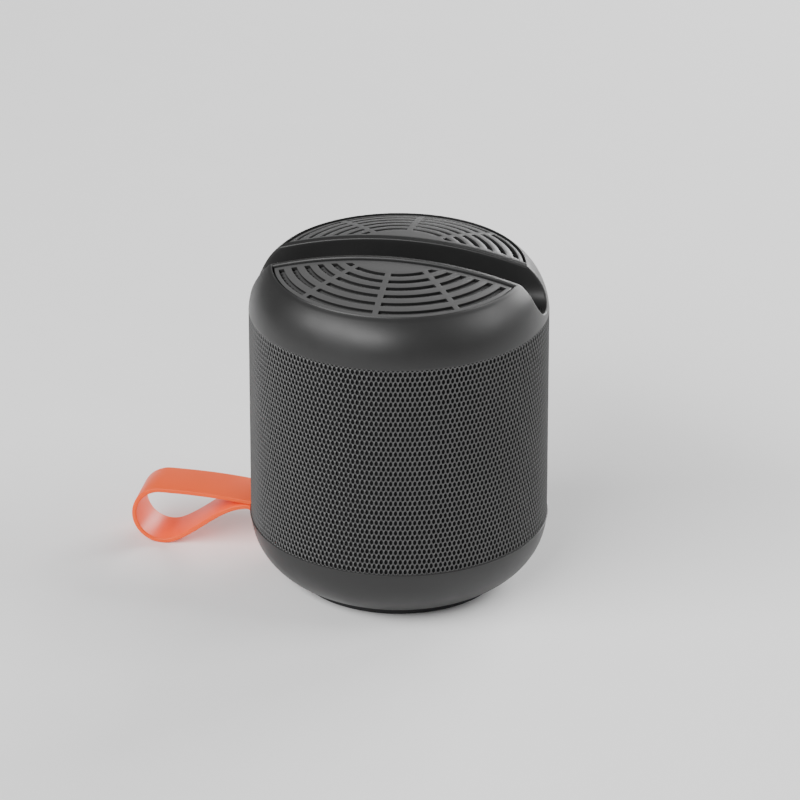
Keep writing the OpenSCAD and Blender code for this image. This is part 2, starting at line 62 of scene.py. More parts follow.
def linear(colour):
    """Turns an sRGB hex value into the linear colour that the shaders read."""
    def part(i):
        c = int(colour[i:i + 2], 16) / 255
        return c / 12.92 if c <= 0.04045 else ((c + 0.055) / 1.055) ** 2.4
    return (part(1), part(3), part(5), 1.0)


def length(name, description, default):
    return FloatProperty(name=name, description=description, default=default, subtype="DISTANCE",
                         unit="LENGTH", precision=5)


def colour(name, description, default):
    return FloatVectorProperty(name=name, description=description, default=linear(default), size=4,
                               subtype="COLOR", min=0, max=1)


class SpeakerSizes(bpy.types.PropertyGroup):
    """Sizes of the speaker's visible pieces, in metres"""
    body_r: length("Body radius", "Outer radius of the sleeve and the caps", HIGH.x)
    sleeve_low: length("Sleeve bottom", "Height of the sleeve's lower edge", LOW.z)
    sleeve_top: length("Sleeve top", "Height of the sleeve's upper edge", HIGH.z)
    rim_r: length("Rim radius", "Radius of the edge between shoulder and dome", 0.0359)
    rim_z: length("Rim height", "Height of the edge between shoulder and dome", 0.0939)
    crown_z: length("Crown height", "Height of the dome's middle", 0.0995)
    slot_half: length("Slot half width", "Half the width of the phone slot", 0.0058)
    slot_floor: length("Slot floor", "Height of the phone slot's floor", 0.0833)
    lip: length("Lip rounding", "Size of the rounding along the phone slot", 0.00055)
    pocket_r: length("Pocket radius", "Outer radius of the half-moon pockets", 0.0352)
    pocket_y: length("Pocket edge", "Distance of the pockets' straight wall from the slot's middle", 0.0079)
    bead: length("Bead", "How far the lip round a pocket stands up", 0.0002)
    cell_w: length("Mesh cell width", "Width of one diamond of the sleeve's mesh", 0.001333)
    cell_h: length("Mesh row spacing", "Distance between two rows of holes in the sleeve", 0.00151)
    hole_w: length("Mesh hole width", "Width of a hole in the sleeve", 0.00096)
    hole_h: length("Mesh hole height", "Height of a hole in the sleeve", 0.00152)
    insert_r: length("Insert radius", "Outer radius of the half-moon inserts", 0.0347)
    insert_y: length("Insert edge", "Distance of the inserts' straight edge from the slot's middle", 0.0086)
    insert_t: length("Insert thickness", "Thickness of the inserts", 0.001)
    row_end: length("Slot margin", "Distance from the insert's straight edge to the slots' ends", 0.0015)
    row_r: length("First row", "Middle radius of the innermost row of arc slots", 0.01575)
    row_pitch: length("Row pitch", "Distance between two rows of arc slots", 0.00343)
    row_w: length("Row width", "Width of an arc slot", 0.0014)
    rows: IntProperty(name="Rows", description="Number of rows of arc slots", default=6, min=2, max=8)
    strap_w: length("Strap width", "Width of the wrist strap", 0.0142)
    strap_t: length("Strap thickness", "Thickness of the wrist strap", 0.0013)


class SpeakerColours(bpy.types.PropertyGroup):
    """Colours of the speaker's finishes"""
    cap: colour("Caps", "Moulded caps", "#242424")
    insert: colour("Inserts", "Half-moon inserts", "#505050")
    sleeve: colour("Sleeve", "Powder coat of the perforated sleeve", "#4d4d4d")
    under: colour("Under mesh", "Powder coat of the sheet below the inserts", "#474747")
    panel: colour("Panel", "Rear control panel", "#252525")
    rubber: colour("Rubber", "Buttons, flap and foot ring", "#1d1d1f")
    strap: colour("Strap", "Silicone wrist strap", "#fa5412")
    mark: colour("Marks", "Printed marks on the buttons", "#b9babd")
    floor: colour("Floor", "Pale floor", "#f6f6f6")


def sizes():
    return bpy.context.scene.speaker_sizes


def colours():
    return bpy.context.scene.speaker_colours


# ---------- meshes ----------

def patch(bm, nu, nv, place):
    """Makes a grid of nu by nv faces and moves its corners to place(u, v), u and v from 0 to 1."""
    made = bmesh.ops.create_grid(bm, x_segments=nu, y_segments=nv, size=0.5)["verts"]
    for v in made:
        v.co = place(v.co.x + 0.5, v.co.y + 0.5)
    return made


def blend(a, b, t):
    return a + (b - a) * t


def weld(bm, gap=0.004):
    """Merges corners closer than gap millimetres and makes the faces agree on which side is out."""
    bmesh.ops.remove_doubles(bm, verts=bm.verts, dist=gap)
    bmesh.ops.dissolve_degenerate(bm, edges=bm.edges, dist=gap)
    bmesh.ops.recalc_face_normals(bm, faces=bm.faces)


def cut(bm, spot, way):
    """Cuts a bmesh at the plane through spot and drops the side that way points to."""
    bmesh.ops.bisect_plane(bm, geom=bm.verts[:] + bm.edges[:] + bm.faces[:], dist=0.0001,
                           plane_co=spot, plane_no=way, clear_outer=True)


def finish_mesh(bm, name, body, slot, smooth=40, finish=None, others=()):
    """Turns a bmesh drawn in millimetres into an object that rides on a body. It has its slot's finish
    unless another is named, and others are the finishes of the further material indices."""
    bmesh.ops.scale(bm, vec=(0.001, 0.001, 0.001), verts=bm.verts)
    mesh = bpy.data.meshes.new(name)
    bm.to_mesh(mesh)
    bm.free()
    made = bpy.data.objects.new(name, mesh)
    bpy.context.scene.collection.objects.link(made)
    for key in (finish or slot, *others):
        mesh.materials.append(material(key))
    for face in mesh.polygons:
        face.use_smooth = True
    if smooth < 180:
        mesh.set_sharp_from_angle(angle=math.radians(smooth))
    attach(made, body)
    return made


def baked(made):
    """Applies an object's modifiers to its mesh."""
    graph = bpy.context.evaluated_depsgraph_get()
    mesh = bpy.data.meshes.new_from_object(made.evaluated_get(graph))
    made.modifiers.clear()
    made.data = mesh
    return made


def softened(name, cad, body, slot, width, angle=35):
    """A copy of a CAD node with its edges sharper than angle degrees rounded by width millimetres."""
    bm = bmesh.new()
    bm.from_mesh(frame["nodes"][cad].data)
    bmesh.ops.remove_doubles(bm, verts=bm.verts, dist=0.000002)
    bmesh.ops.scale(bm, vec=(1000, 1000, 1000), verts=bm.verts)
    bmesh.ops.dissolve_limit(bm, angle_limit=math.radians(0.6), verts=bm.verts, edges=bm.edges)
    made = finish_mesh(bm, name, body, slot, 180)
    bevel = made.modifiers.new("edges", "BEVEL")
    bevel.width = width / 1000
    bevel.segments = 3
    bevel.limit_method = "ANGLE"
    bevel.angle_limit = math.radians(angle)
    bevel.harden_normals = True
    baked(made)
    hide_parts(cad)
    return made


def round_shading(made, radius):
    """Gives the faces that lie on a cylinder round the Z axis, radius millimetres, its exact normals."""
    # How near a corner has to lie, in millimetres, and how squarely its face has to look outwards
    near, facing = 0.06, 0.93
    mesh = made.data
    normals = [Vector(n.vector) for n in mesh.corner_normals]
    for face in mesh.polygons:
        for k in face.loop_indices:
            p = mesh.vertices[mesh.loops[k].vertex_index].co
            out = Vector((p.x, p.y, 0)).normalized()
            if abs(p.xy.length * 1000 - radius) < near and face.normal.dot(out) > facing:
                normals[k] = out
    mesh.normals_split_custom_set(normals)


# ---------- materials ----------

def node(tree, kind, inputs=None, **settings):
    """Adds a node with its settings, and its inputs' values or the sockets that feed them."""
    made = tree.nodes.new(kind)
    for key, value in settings.items():
        setattr(made, key, value)
    for key, value in (inputs or {}).items():
        if isinstance(value, bpy.types.NodeSocket):
            tree.links.new(value, made.inputs[key])
        else:
            made.inputs[key].default_value = value
    return made


def coated(name, base, rough, grain, depth, mottle=0.06, **shader):
    """A finish with a fine grain: grain is its size and depth its height, both in millimetres, and
    mottle is how far its colour drifts."""
    made = bpy.data.materials.new(name)
    made.use_nodes = True
    tree = made.node_tree
    bsdf = tree.nodes["Principled BSDF"]
    place = node(tree, "ShaderNodeTexCoord").outputs["Object"]
    fine = node(tree, "ShaderNodeTexNoise", {"Vector": place, "Scale": 1000 / grain, "Detail": 3.0})
    # Colour and sheen drift in patches about 18 mm across
    broad = node(tree, "ShaderNodeTexNoise", {"Vector": place, "Scale": 55.0, "Detail": 4.0,
                                              "Roughness": 0.6})
    drift = 0.06
    light = tuple(min(1, c * (1 + mottle) + 0.002) for c in base[:3]) + (1.0,)
    dark = tuple(c * (1 - mottle) for c in base[:3]) + (1.0,)
    tint = node(tree, "ShaderNodeMix", {0: broad.outputs["Fac"], 6: dark, 7: light}, data_type="RGBA")
    gloss = node(tree, "ShaderNodeMapRange", {"Value": broad.outputs["Fac"], "From Min": 0.3,
                                              "From Max": 0.7, "To Min": rough - drift,
                                              "To Max": rough + drift})
    bump = node(tree, "ShaderNodeBump", {"Height": fine.outputs["Fac"], "Strength": 1.0,
                                         "Distance": depth / 1000})
    tree.links.new(tint.outputs[2], bsdf.inputs["Base Color"])
    tree.links.new(gloss.outputs["Result"], bsdf.inputs["Roughness"])
    tree.links.new(bump.outputs["Normal"], bsdf.inputs["Normal"])
    for key, value in shader.items():
        bsdf.inputs[key.replace("_", " ")].default_value = value
    return made


def make_materials():
    c = colours()
    made = {}
    # Moulded ABS with a fine spark-eroded grain: a soft satin sheen with no mirror image
    # On the inserts' slot walls and outer edge this darker plastic is painted shade
    made["charcoal_plastic"] = coated("moulded_abs_charcoal", c.cap, 0.42, 0.28, 0.006, IOR=1.44)
    # The same ABS moulded a little smoother
    made["insert_plastic"] = coated("moulded_abs_satin", c.insert, 0.4, 0.22, 0.004, IOR=1.53)
    made["panel_plastic"] = coated("moulded_abs_panel", c.panel, 0.4, 0.28, 0.006, IOR=1.53)
    made["inner_plastic"] = coated("moulded_abs_inner", linear("#232324"), 0.5, 0.3, 0.006, IOR=1.53)
    # Powder coat on punched steel: slightly pebbled, drawn a little coarse so that it shows
    made["grille_steel"] = coated("powder_coat_satin", c.sleeve, 0.4, 0.2, 0.008, IOR=1.5)
    made["under_mesh_steel"] = coated("powder_coat_dark", c.under, 0.45, 0.2, 0.008, IOR=1.5)
    # Silicone: satin skin over a slightly translucent body
    made["strap_silicone"] = coated("silicone_orange", c.strap, 0.46, 0.5, 0.004, mottle=0.04,
                                    IOR=1.41, Subsurface_Weight=0.1, Sheen_Weight=0.18,
                                    Sheen_Roughness=0.35)
    # The cut edges are glossier and show the clean colour
    made["strap_edge"] = coated("silicone_orange_edge", c.strap, 0.4, 0.5, 0.003, mottle=0.03, IOR=1.41,
                                Subsurface_Weight=0.1)
    # Rubber: matt, with a dusty drift in its sheen
    for slot in ("pad_rubber", "flap_rubber", "button_rubber"):
        made[slot] = coated(slot + "_matt", c.rubber, 0.6, 0.3, 0.01, mottle=0.12, IOR=1.52)
    # Zinc plate on steel: bright, with fine drift from rolling
    made["screw_steel"] = coated("zinc_plated_steel", linear("#b4b5b7"), 0.3, 0.15, 0.004, Metallic=1.0)
    # Pressed steel with a duller plating
    made["basket_steel"] = coated("plated_pressed_steel", linear("#6c6d70"), 0.45, 0.3, 0.008, Metallic=1.0)
    # Ground ferrite: dark grey with a faint metallic sheen
    made["magnet_ferrite"] = coated("ground_ferrite", linear("#3a3a3d"), 0.55, 0.2, 0.01, Metallic=0.4)
    # Pressed pulp: matt, with fibres that mottle it
    made["cone_paper"] = coated("pressed_pulp", linear("#262628"), 0.8, 0.5, 0.04, mottle=0.2)
    # Cloth stiffened with resin: matt and amber
    made["spider_cloth"] = coated("resin_cloth", linear("#a8844a"), 0.8, 0.4, 0.04, mottle=0.15)
    # Enamelled copper wire: a warm metal under clear varnish
    made["coil_wire"] = coated("enamelled_copper", linear("#b4683a"), 0.35, 0.15, 0.01, Metallic=1.0)
    # Shrink-wrap film: glossy, with slow ripples
    made["battery_wrap"] = coated("shrink_wrap", linear("#2f5f9c"), 0.3, 1.2, 0.02, IOR=1.5)
    # Closed-cell foam: dull black with small pores
    made["seal_foam"] = coated("closed_cell_foam", linear("#1b1b1c"), 0.9, 0.4, 0.05, mottle=0.2)
    # Thin black cloth that swallows light behind the holes
    # On the walls of the sleeve's holes this black is painted shade
    made["acoustic_cloth"] = coated("acoustic_cloth", linear("#08080a"), 0.95, 0.3, 0.03, mottle=0.2)
    # Solder mask: a glossy green lacquer
    made["board_green"] = coated("solder_mask", linear("#1f6a3d"), 0.3, 1.0, 0.006, IOR=1.5)
    # Moulded epoxy: fine matt black
    made["chip_black"] = coated("moulded_epoxy", linear("#1c1c1e"), 0.5, 0.2, 0.006, IOR=1.5)
    # Frosted polycarbonate: milky, and lets some light through
    made["light_lens"] = coated("frosted_polycarbonate", linear("#dfe3e8"), 0.35, 0.3, 0.004, IOR=1.58,
                                Transmission_Weight=0.3)
    # Pad-printed ink: thin and flat
    made["mark_ink"] = coated("pad_printed_ink", c.mark, 0.5, 0.2, 0.004)
    return made


MATERIAL_NAMES = {}


def material(slot):
    return bpy.data.materials[MATERIAL_NAMES[slot]]


class SPEAKER_OT_finishes(bpy.types.Operator):
    """Makes the finishes and gives each CAD node its own"""
    bl_idname = "speaker.finishes"
    bl_label = "Finishes"

    def execute(self, context):
        for slot, made in make_materials().items():
            MATERIAL_NAMES[slot] = made.name
        for part in frame["record"]["subparts"]:
            mesh = frame["nodes"][part["node"]].data
            mesh.materials.clear()
            mesh.materials.append(material(part["material_slot"]))
        return {"FINISHED"}


# ---------- top cap ----------

# How far the shoulder's grid stops below the rim, and the dome's starts inside it, in millimetres
RIM_DOWN, RIM_IN = 0.2, 0.3
# Faces along the slot's edge: round its bend, up its straight side, and across to the middle of the dome
BEND, RISE, ACROSS = 14, 8, 30


class Cap:
    """The top cap's outline in millimetres, from the sizes."""

    def __init__(self):
        s = sizes()
        self.R, self.rim_r, self.rim_z = s.body_r * 1000, s.rim_r * 1000, s.rim_z * 1000
        self.crown, self.low = s.crown_z * 1000, s.sleeve_top * 1000
        rise = self.crown - self.rim_z
        self.dome_r = (self.rim_r ** 2 + rise ** 2) / (2 * rise)
        # The shoulder's side view is part of an ellipse with these half axes, which ends at the rim
        self.inward, self.up = 15.5, 17.7
        end = math.acos(1 - (self.R - self.rim_r) / self.inward)
        self.z0 = self.rim_z - self.up * math.sin(end)
        self.half, self.floor = s.slot_half * 1000, s.slot_floor * 1000
        self.bend_z = self.floor + self.half
        self.lip = s.lip * 1000

    def dome(self, r):
        """Height of the dome at radius r."""
        return self.crown - self.dome_r + math.sqrt(self.dome_r ** 2 - r * r)

    def angle(self, z):
        """The ellipse's parameter at height z."""
        return math.asin(min(1, max(0, (z - self.z0) / self.up)))

    def radius(self, z):
        """Radius of the shoulder at height z."""
        return self.R - self.inward * (1 - math.cos(self.angle(z)))

    def normal(self, p):
        """Outward direction at a point of the cap."""
        r = math.hypot(p.x, p.y)
        on_dome = Vector((p.x, p.y, p.z - self.crown + self.dome_r)).normalized()
        a = self.angle(p.z)
        k = Vector((math.cos(a) / self.inward, math.sin(a) / self.up)).normalized()
        on_side = Vector((k.x * p.x / r, k.x * p.y / r, k.y))
        # One turns into the other over a band across the rim, in millimetres
        band = 0.4
        t = min(1, max(0, (self.rim_r + band / 2 - r) / band))
        return blend(on_side, on_dome, t).normalized()


def slot_edge(cap):
    """Stations along the rounding of the slot's +Y edge, from the floor at +X over the lip to the floor
    at -X. Each is (point on the cap, sharp edge, point on the slot's wall)."""
    d = cap.lip
    # First as (point on the cap, sharp edge, direction from the slot into its wall), up to the middle
    out = []
    for i in range(BEND + 1):
        a = math.radians(90) * i / BEND
        y, z = cap.half * math.sin(a), cap.bend_z - cap.half * math.cos(a)
        edge = Vector((math.sqrt(cap.radius(z) ** 2 - y * y), y, z))
        ya, za = (cap.half + d) * math.sin(a), cap.bend_z - (cap.half + d) * math.cos(a)
        skin = Vector((math.sqrt(cap.radius(za) ** 2 - ya * ya), ya, za))
        out.append((skin, edge, Vector((0, math.sin(a), -math.cos(a)))))
    wall = Vector((0, 1, 0))
    for i in range(1, RISE + 1):
        z = blend(cap.bend_z, cap.rim_z - RIM_DOWN, i / RISE)
        r = cap.radius(z)
        out.append((Vector((math.sqrt(r * r - (cap.half + d) ** 2), cap.half + d, z)),
                    Vector((math.sqrt(r * r - cap.half ** 2), cap.half, z)), wall))
    rim = cap.rim_r - RIM_IN
    far, near = math.sqrt(rim ** 2 - (cap.half + d) ** 2), math.sqrt(rim ** 2 - cap.half ** 2)
    for i in range(ACROSS + 1):
        f = math.cos(math.pi / 2 * i / ACROSS)
        xa, xe = far * f, near * f
        out.append((Vector((xa, cap.half + d, cap.dome(math.hypot(xa, cap.half + d)))),
                    Vector((xe, cap.half, cap.dome(math.hypot(xe, cap.half)))), wall))
    stations = []
    for skin, edge, outward in out:
        n = cap.normal(edge)
        inward = -(n - outward * n.dot(outward)).normalized()
        deep = edge + inward * d
        if edge.z < cap.bend_z:
            k = Vector((0, deep.y, deep.z - cap.bend_z)).normalized() * cap.half
            deep = Vector((deep.x, k.y, cap.bend_z + k.z))
        stations.append((skin, edge, deep))
    flip = Matrix.Diagonal((-1, 1, 1)).to_3x3()
    return stations + [tuple(flip @ p for p in s) for s in reversed(stations[:-1])]


def build_top_cap():
    s, cap = sizes(), Cap()
    edge = slot_edge(cap)
    # Faces round half the cap, along the whole slot edge, and from the slot's floor up to the dome
    steps, total, corner = 150, len(edge) - 1, BEND + RISE + 1
    bm = bmesh.new()
    # Full rings as (radius, height): down the inner wall, round the lower edge, up to the slot's floor
    ring = [(39.8, 84.0), (39.8, 81.4), (40.2, cap.low), (41.6, cap.low), (41.88, cap.low + 0.06)]
    for i in range(4):
        z = blend(cap.low + 0.25, edge[0][0].z, i / 3)
        ring.append((cap.radius(z), z))

    def side_wall(u, v):
        r, z = ring[round(v * (len(ring) - 1))]
        a = 2 * math.pi * u
        return Vector((r * math.cos(a), r * math.sin(a), z))

    patch(bm, 2 * steps, len(ring) - 1, side_wall)
    # The land beside the slot, the bead round the pocket, as (share of the way, depth in beads), then
    # the pocket's wall and its ledge. Each level is (y of the chord, radius of the arc, depth)
    y0, r0 = cap.half + cap.lip, cap.rim_r - RIM_IN
    y1, r1, deep = s.pocket_y * 1000, s.pocket_r * 1000, 2.0
    bead = [(0, 0), (0.3, -0.6), (0.6, -1.3), (0.84, -1.2), (0.96, -0.2), (1, 1.0)]
    levels = [(blend(y0, y1, t), blend(r0, r1, t), k * s.bead * 1000) for t, k in bead]
    levels += [(y1, r1, deep), (y1 + 1.8, r1 - 1.9, deep)]

    def level(v):
        return levels[round(v * (len(levels) - 1))]

    for side in (1, -1):
        turn = Matrix.Diagonal((1, side, 1)).to_3x3()

        def shell(u, v):
            p = edge[round(v * corner)][0]
            r = math.hypot(p.x, p.y)
            a = math.atan2(p.y, p.x)
            t = blend(a, math.pi - a, u)
            return turn @ Vector((r * math.cos(t), r * math.sin(t), p.z))

        def rounding(u, v):
            # A curve from the cap to the slot's wall, drawn towards the sharp edge by a weight of 0.8
            skin, sharp, wall = edge[round(u * total)]
            first, middle, last = (1 - v) * (1 - v), 2 * (1 - v) * v * 0.8, v * v
            return turn @ ((skin * first + sharp * middle + wall * last) / (first + middle + last))

        def arc(u, v):
            y, r, down = level(v)
            a = math.asin(y / r)
            t = blend(a, math.pi - a, u)
            return turn @ Vector((r * math.cos(t), r * math.sin(t), cap.dome(r) - down))

        def chord(u, v):
            y, r, down = level(v)
            far = math.sqrt(r * r - y * y)
            k = corner + round(u * (total - 2 * corner))
            x = edge[k][0].x / edge[corner][0].x * far
            return turn @ Vector((x, y, cap.dome(math.hypot(x, y)) - down))

        patch(bm, steps, corner, shell)
        patch(bm, total, 5, rounding)
        patch(bm, steps, len(levels) - 1, arc)
        patch(bm, total - 2 * corner, len(levels) - 1, chord)
    quarter = cap.half * math.pi / 2

    def trough(u, v):
        """The slot's inside, from one wall round the floor to the other."""
        p = edge[round(u * total)][2]
        if p.z >= cap.bend_z:
            reach = p.z - cap.bend_z + quarter
        else:
            reach = cap.half * math.atan2(p.y, cap.bend_z - p.z)
        s = (1 - 2 * v) * reach
        y = math.copysign(1, s)
        if abs(s) > quarter:
            return Vector((p.x, y * cap.half, cap.bend_z + abs(s) - quarter))
        a = abs(s) / cap.half
        return Vector((p.x, y * cap.half * math.sin(a), cap.bend_z - cap.half * math.cos(a)))

    patch(bm, total, 44, trough)
    weld(bm)
    outermost = max(bm.faces, key=lambda f: f.calc_center_median().xy.length)
    if outermost.normal.xy.dot(outermost.calc_center_median().xy) < 0:
        bmesh.ops.reverse_faces(bm, faces=bm.faces)
    made = finish_mesh(bm, "top_cap_shell", "speaker_body", "charcoal_plastic", 32)
    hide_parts("top_cap")


class SPEAKER_OT_top_cap(bpy.types.Operator):
    """Builds the domed top cap with its phone slot and two half-moon pockets"""
    bl_idname = "speaker.top_cap"
    bl_label = "Top cap"

    def execute(self, context):
        build_top_cap()
        return {"FINISHED"}


# ---------- half-moon inserts ----------

# Where the ribs cross the rows of slots, in degrees from +X, and their width in millimetres
RIBS = (50.5, 90, 129.5)
RIB_W = 1.7
# How far the inserts lie below the dome's surface, in millimetres
INSERT_DROP = 0.3


def insert_lines(r, y0, y1):
    """Angles of the insert's edge, of the slots' ends and of both sides of each rib, at radius r."""
    out = [math.asin(min(1, y0 / r)), math.asin(min(1, y1 / r))]
    for rib in RIBS:
        k = math.asin(RIB_W / 2 / r)
        out += [math.radians(rib) - k, math.radians(rib) + k]
    return out + [math.pi - out[1], math.pi - out[0]]


def build_insert(name, cad, side):
    """A half-moon plate: bands of radius are drawn line by line, and the slots are left open."""
    s, cap = sizes(), Cap()
    y0, r1, pitch = s.insert_y * 1000, s.insert_r * 1000, s.row_pitch * 1000
    first, w, y_end = s.row_r * 1000, s.row_w * 1000, (s.insert_y + s.row_end) * 1000
    bm = bmesh.new()
    # Faces between one line and the next: the odd stretches lie across the slots
    stretches = [1, 9, 2, 10, 2, 10, 2, 9, 1]
    bands, r = [], first - w / 2
    for i in range(s.rows):
        inner, outer = first + pitch * i - w / 2, first + pitch * i + w / 2
        if inner > r:
            bands.append((r, inner, True))
        bands.append((inner, outer, False))
        r = outer
    bands.append((r, r1, True))

    def spot(x, y):
        return Vector((x, side * y, cap.dome(math.hypot(x, y)) - INSERT_DROP))

    for lo, hi, solid in bands:
        for j, count in enumerate(stretches):
            if not solid and j % 2:
                continue

            def place(u, v):
                rad = blend(lo, hi, v)
                lines = insert_lines(rad, y0, y_end)
                a = blend(lines[j], lines[j + 1], u)
                return spot(rad * math.cos(a), rad * math.sin(a))
            patch(bm, count, 2 if solid else 1, place)
    inner = first - w / 2
    lines = insert_lines(inner, y0, y_end)
    for j, count in enumerate(stretches):
        def place(u, v):
            a = blend(lines[j], lines[j + 1], u)
            return spot(inner * math.cos(a), blend(y0, inner * math.sin(a), v))
        patch(bm, count, 4, place)
    weld(bm)
    if sum(f.normal.z for f in bm.faces) < 0:
        bmesh.ops.reverse_faces(bm, faces=bm.faces)
    bmesh.ops.solidify(bm, geom=bm.faces[:], thickness=s.insert_t * 1000)
    # The slots' walls and the outer edge take the caps' darker plastic: painted shade, standing for the
    # shadow inside the slots
    for face in bm.faces:
        face.normal_update()
        face.material_index = 1 if abs(face.normal.z) < 0.4 else 0
    bmesh.ops.recalc_face_normals(bm, faces=bm.faces)
    sharp = [e for e in bm.edges if len(e.link_faces) == 2 and e.calc_face_angle() > math.radians(55)]
    bmesh.ops.bevel(bm, geom=sharp, offset=0.14, offset_type="OFFSET", segments=2, profile=0.5,
                    affect="EDGES", material=-1, clamp_overlap=True)
    # Material index 1, the cap plastic on the walls, is painted shade
    made = finish_mesh(bm, name, "speaker_body", "insert_plastic", 30, others=["charcoal_plastic"])
    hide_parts(cad)


def build_under_sheet(name, cad, side):
    """The perforated sheet below an insert: one row of round holes below each row of slots."""
    s, cap = sizes(), Cap()
    y0, r1, pitch = s.insert_y * 1000, s.insert_r * 1000, s.row_pitch * 1000
    first = s.row_r * 1000
    # Half the width of a row's cells, the holes' spacing and their radius
    half, spacing, hole_r = 0.95, 2.0, 0.5
    # The outer corners of a cell and the hole's edge lie on the sheet, and its wall goes down
    depths = (0, 0, 0.25, 0.6)
    drop = INSERT_DROP + s.insert_t * 1000 + 0.05
    bm = bmesh.new()

    def spot(x, y, down=0.0):
        return Vector((x, side * y, cap.dome(math.hypot(x, y)) - drop - down))

    for i in range(s.rows):
        mid = first + pitch * i
        start = math.asin(y0 / (mid - half))
        count = round((math.pi - 2 * start) * mid / spacing)
        for k in range(count):
            a0 = blend(start, math.pi - start, k / count)
            a1 = blend(start, math.pi - start, (k + 1) / count)

            def hole(u, v):
                x, y = math.cos(2 * math.pi * u), math.sin(2 * math.pi * u)
                step = round(v * 3)
                if step == 0:
                    big = max(abs(x), abs(y))
                    p = Vector((x / big, y / big))
                else:
                    p = Vector((x * hole_r / (mid * (a1 - a0) / 2), y * hole_r / half))
                rad = mid + p.y * half
                a = (a0 + a1) / 2 + p.x * (a1 - a0) / 2
                return spot(rad * math.cos(a), rad * math.sin(a), depths[step])
            patch(bm, 16, 3, hole)
        lo = mid + half
        hi = first + pitch * (i + 1) - half if i < s.rows - 1 else r1

        def land(u, v):
            rad = blend(lo, hi, v)
            a0 = math.asin(y0 / rad)
            a = blend(a0, math.pi - a0, u)
            return spot(rad * math.cos(a), rad * math.sin(a))
        patch(bm, 60, 1, land)

    def middle(u, v):
        rad = first - half
        a0 = math.asin(y0 / rad)
        a = blend(a0, math.pi - a0, u)
        return spot(rad * math.cos(a), blend(y0, rad * math.sin(a), v))
    patch(bm, 40, 3, middle)
    weld(bm)
    for f in bm.faces:
        if f.normal.z < -0.2:
            f.normal_flip()
    made = finish_mesh(bm, name, "speaker_body", "under_mesh_steel", 40)
    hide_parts(cad)


class SPEAKER_OT_inserts(bpy.types.Operator):
    """Builds the two half-moon inserts and the perforated sheets under them"""
    bl_idname = "speaker.inserts"
    bl_label = "Grille inserts"

    def execute(self, context):
        for word, side in (("front", -1), ("rear", 1)):
            build_insert(word + "_insert_plate", word + "_grille_insert", side)
            build_under_sheet(word + "_perforated_sheet", word + "_grille_mesh", side)
        return {"FINISHED"}


# ---------- sleeve ----------

def build_sleeve():
    """The diamond mesh: one cell is drawn flat, repeated, cut to length and bent round the body."""
    s = sizes()
    w, h = s.cell_w * 1000, s.cell_h * 1000
    R, low, top = s.body_r * 1000 - 0.04, s.sleeve_low * 1000, s.sleeve_top * 1000
    hw, hh = s.hole_w * 500, s.hole_h * 500
    # Behind the rear panel the sleeve is open, this far to each side of +Y
    mouth = math.radians(15.1)
    # How far the sleeve reaches into both caps
    tuck = 0.3
    # Rings from the strands' crest to the hole's rim and down its wall: (share of the way, depth)
    rings = [(0, 0), (0.4, 0.07), (1, 0.24), (1, 0.42)]
    bm = bmesh.new()

    def cell(cx, cz):
        def place(u, v):
            t = 2 * math.pi * u
            c, z = math.cos(t), math.sin(t)
            m = abs(c) + abs(z)
            crest = Vector((c / m * w / 2, z / m * h))
            rim = Vector((c * hw, z * hh))
            share, down = rings[round(v * 3)]
            p = blend(crest, rim, share)
            return Vector((cx + p.x, -down, cz + p.y))
        patch(bm, 8, 3, place)

    cell(0, 0)
    cell(w / 2, h)
    # The holes' walls take the near-black finish of the cloth behind them: painted shade, standing for the
    # shadow down in the holes
    for face in bm.faces:
        face.material_index = 1 if face.calc_center_median().y < -rings[2][1] - 0.01 else 0
    bmesh.ops.remove_doubles(bm, verts=bm.verts, dist=0.004)
    bmesh.ops.recalc_face_normals(bm, faces=bm.faces)
    if sum(f.normal.y for f in bm.faces) < 0:
        bmesh.ops.reverse_faces(bm, faces=bm.faces)
    mesh = bpy.data.meshes.new("cell")
    bm.to_mesh(mesh)
    bm.free()
    columns = round(2 * math.pi * R / w)
    rows = math.ceil((top - low) / (2 * h)) + 1
    seed = bpy.data.objects.new("cell", mesh)
    bpy.context.scene.collection.objects.link(seed)
    for count, step in ((columns, (w, 0, 0)), (rows, (0, 0, 2 * h))):
        repeat = seed.modifiers.new("repeat", "ARRAY")
        repeat.count = count
        repeat.use_relative_offset = False
        repeat.use_constant_offset = True
        repeat.constant_offset_displace = step
    baked(seed)
    bm = bmesh.new()
    bm.from_mesh(seed.data)
    bpy.data.objects.remove(seed)
    bmesh.ops.remove_doubles(bm, verts=bm.verts, dist=0.01)
    # The first row starts below the lower cut
    for v in bm.verts:
        v.co.z += low - 0.4
    whole = columns * w
    turn = 2 * math.pi / whole
    gap = mouth / turn
    cut(bm, (0, 0, low - tuck), (0, 0, -1))
    cut(bm, (0, 0, top + tuck), (0, 0, 1))
    cut(bm, (gap, 0, 0), (-1, 0, 0))
    cut(bm, (whole - gap, 0, 0), (1, 0, 0))
    shares = 3
    for k in range(shares):
        part = bm.copy()
        cut(part, (blend(gap, whole - gap, k / shares), 0, 0), (-1, 0, 0))
        cut(part, (blend(gap, whole - gap, (k + 1) / shares), 0, 0), (1, 0, 0))
        for v in part.verts:
            a = math.pi / 2 + v.co.x * turn
            r = R + v.co.y
            v.co = Vector((r * math.cos(a), r * math.sin(a), v.co.z))
        # The cloth finish on the holes' walls, material index 1, is painted shade
        made = finish_mesh(part, f"sleeve_mesh_{k + 1}", "speaker_body", "grille_steel", 180,
                           others=["acoustic_cloth"])
        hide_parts("speaker_grille")
    bm.free()
    # The cloth right behind the holes
    bm = bmesh.new()
    r, margin = R - 0.62, 0.05

    def cloth(u, v):
        a = blend(mouth, 2 * math.pi - mouth, u)
        return Vector((r * math.sin(a), r * math.cos(a), blend(low + margin, top - margin, v)))

    patch(bm, 180, 1, cloth)
    made = finish_mesh(bm, "cloth_backing", "speaker_body", "acoustic_cloth")
    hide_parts("dust_cloth")


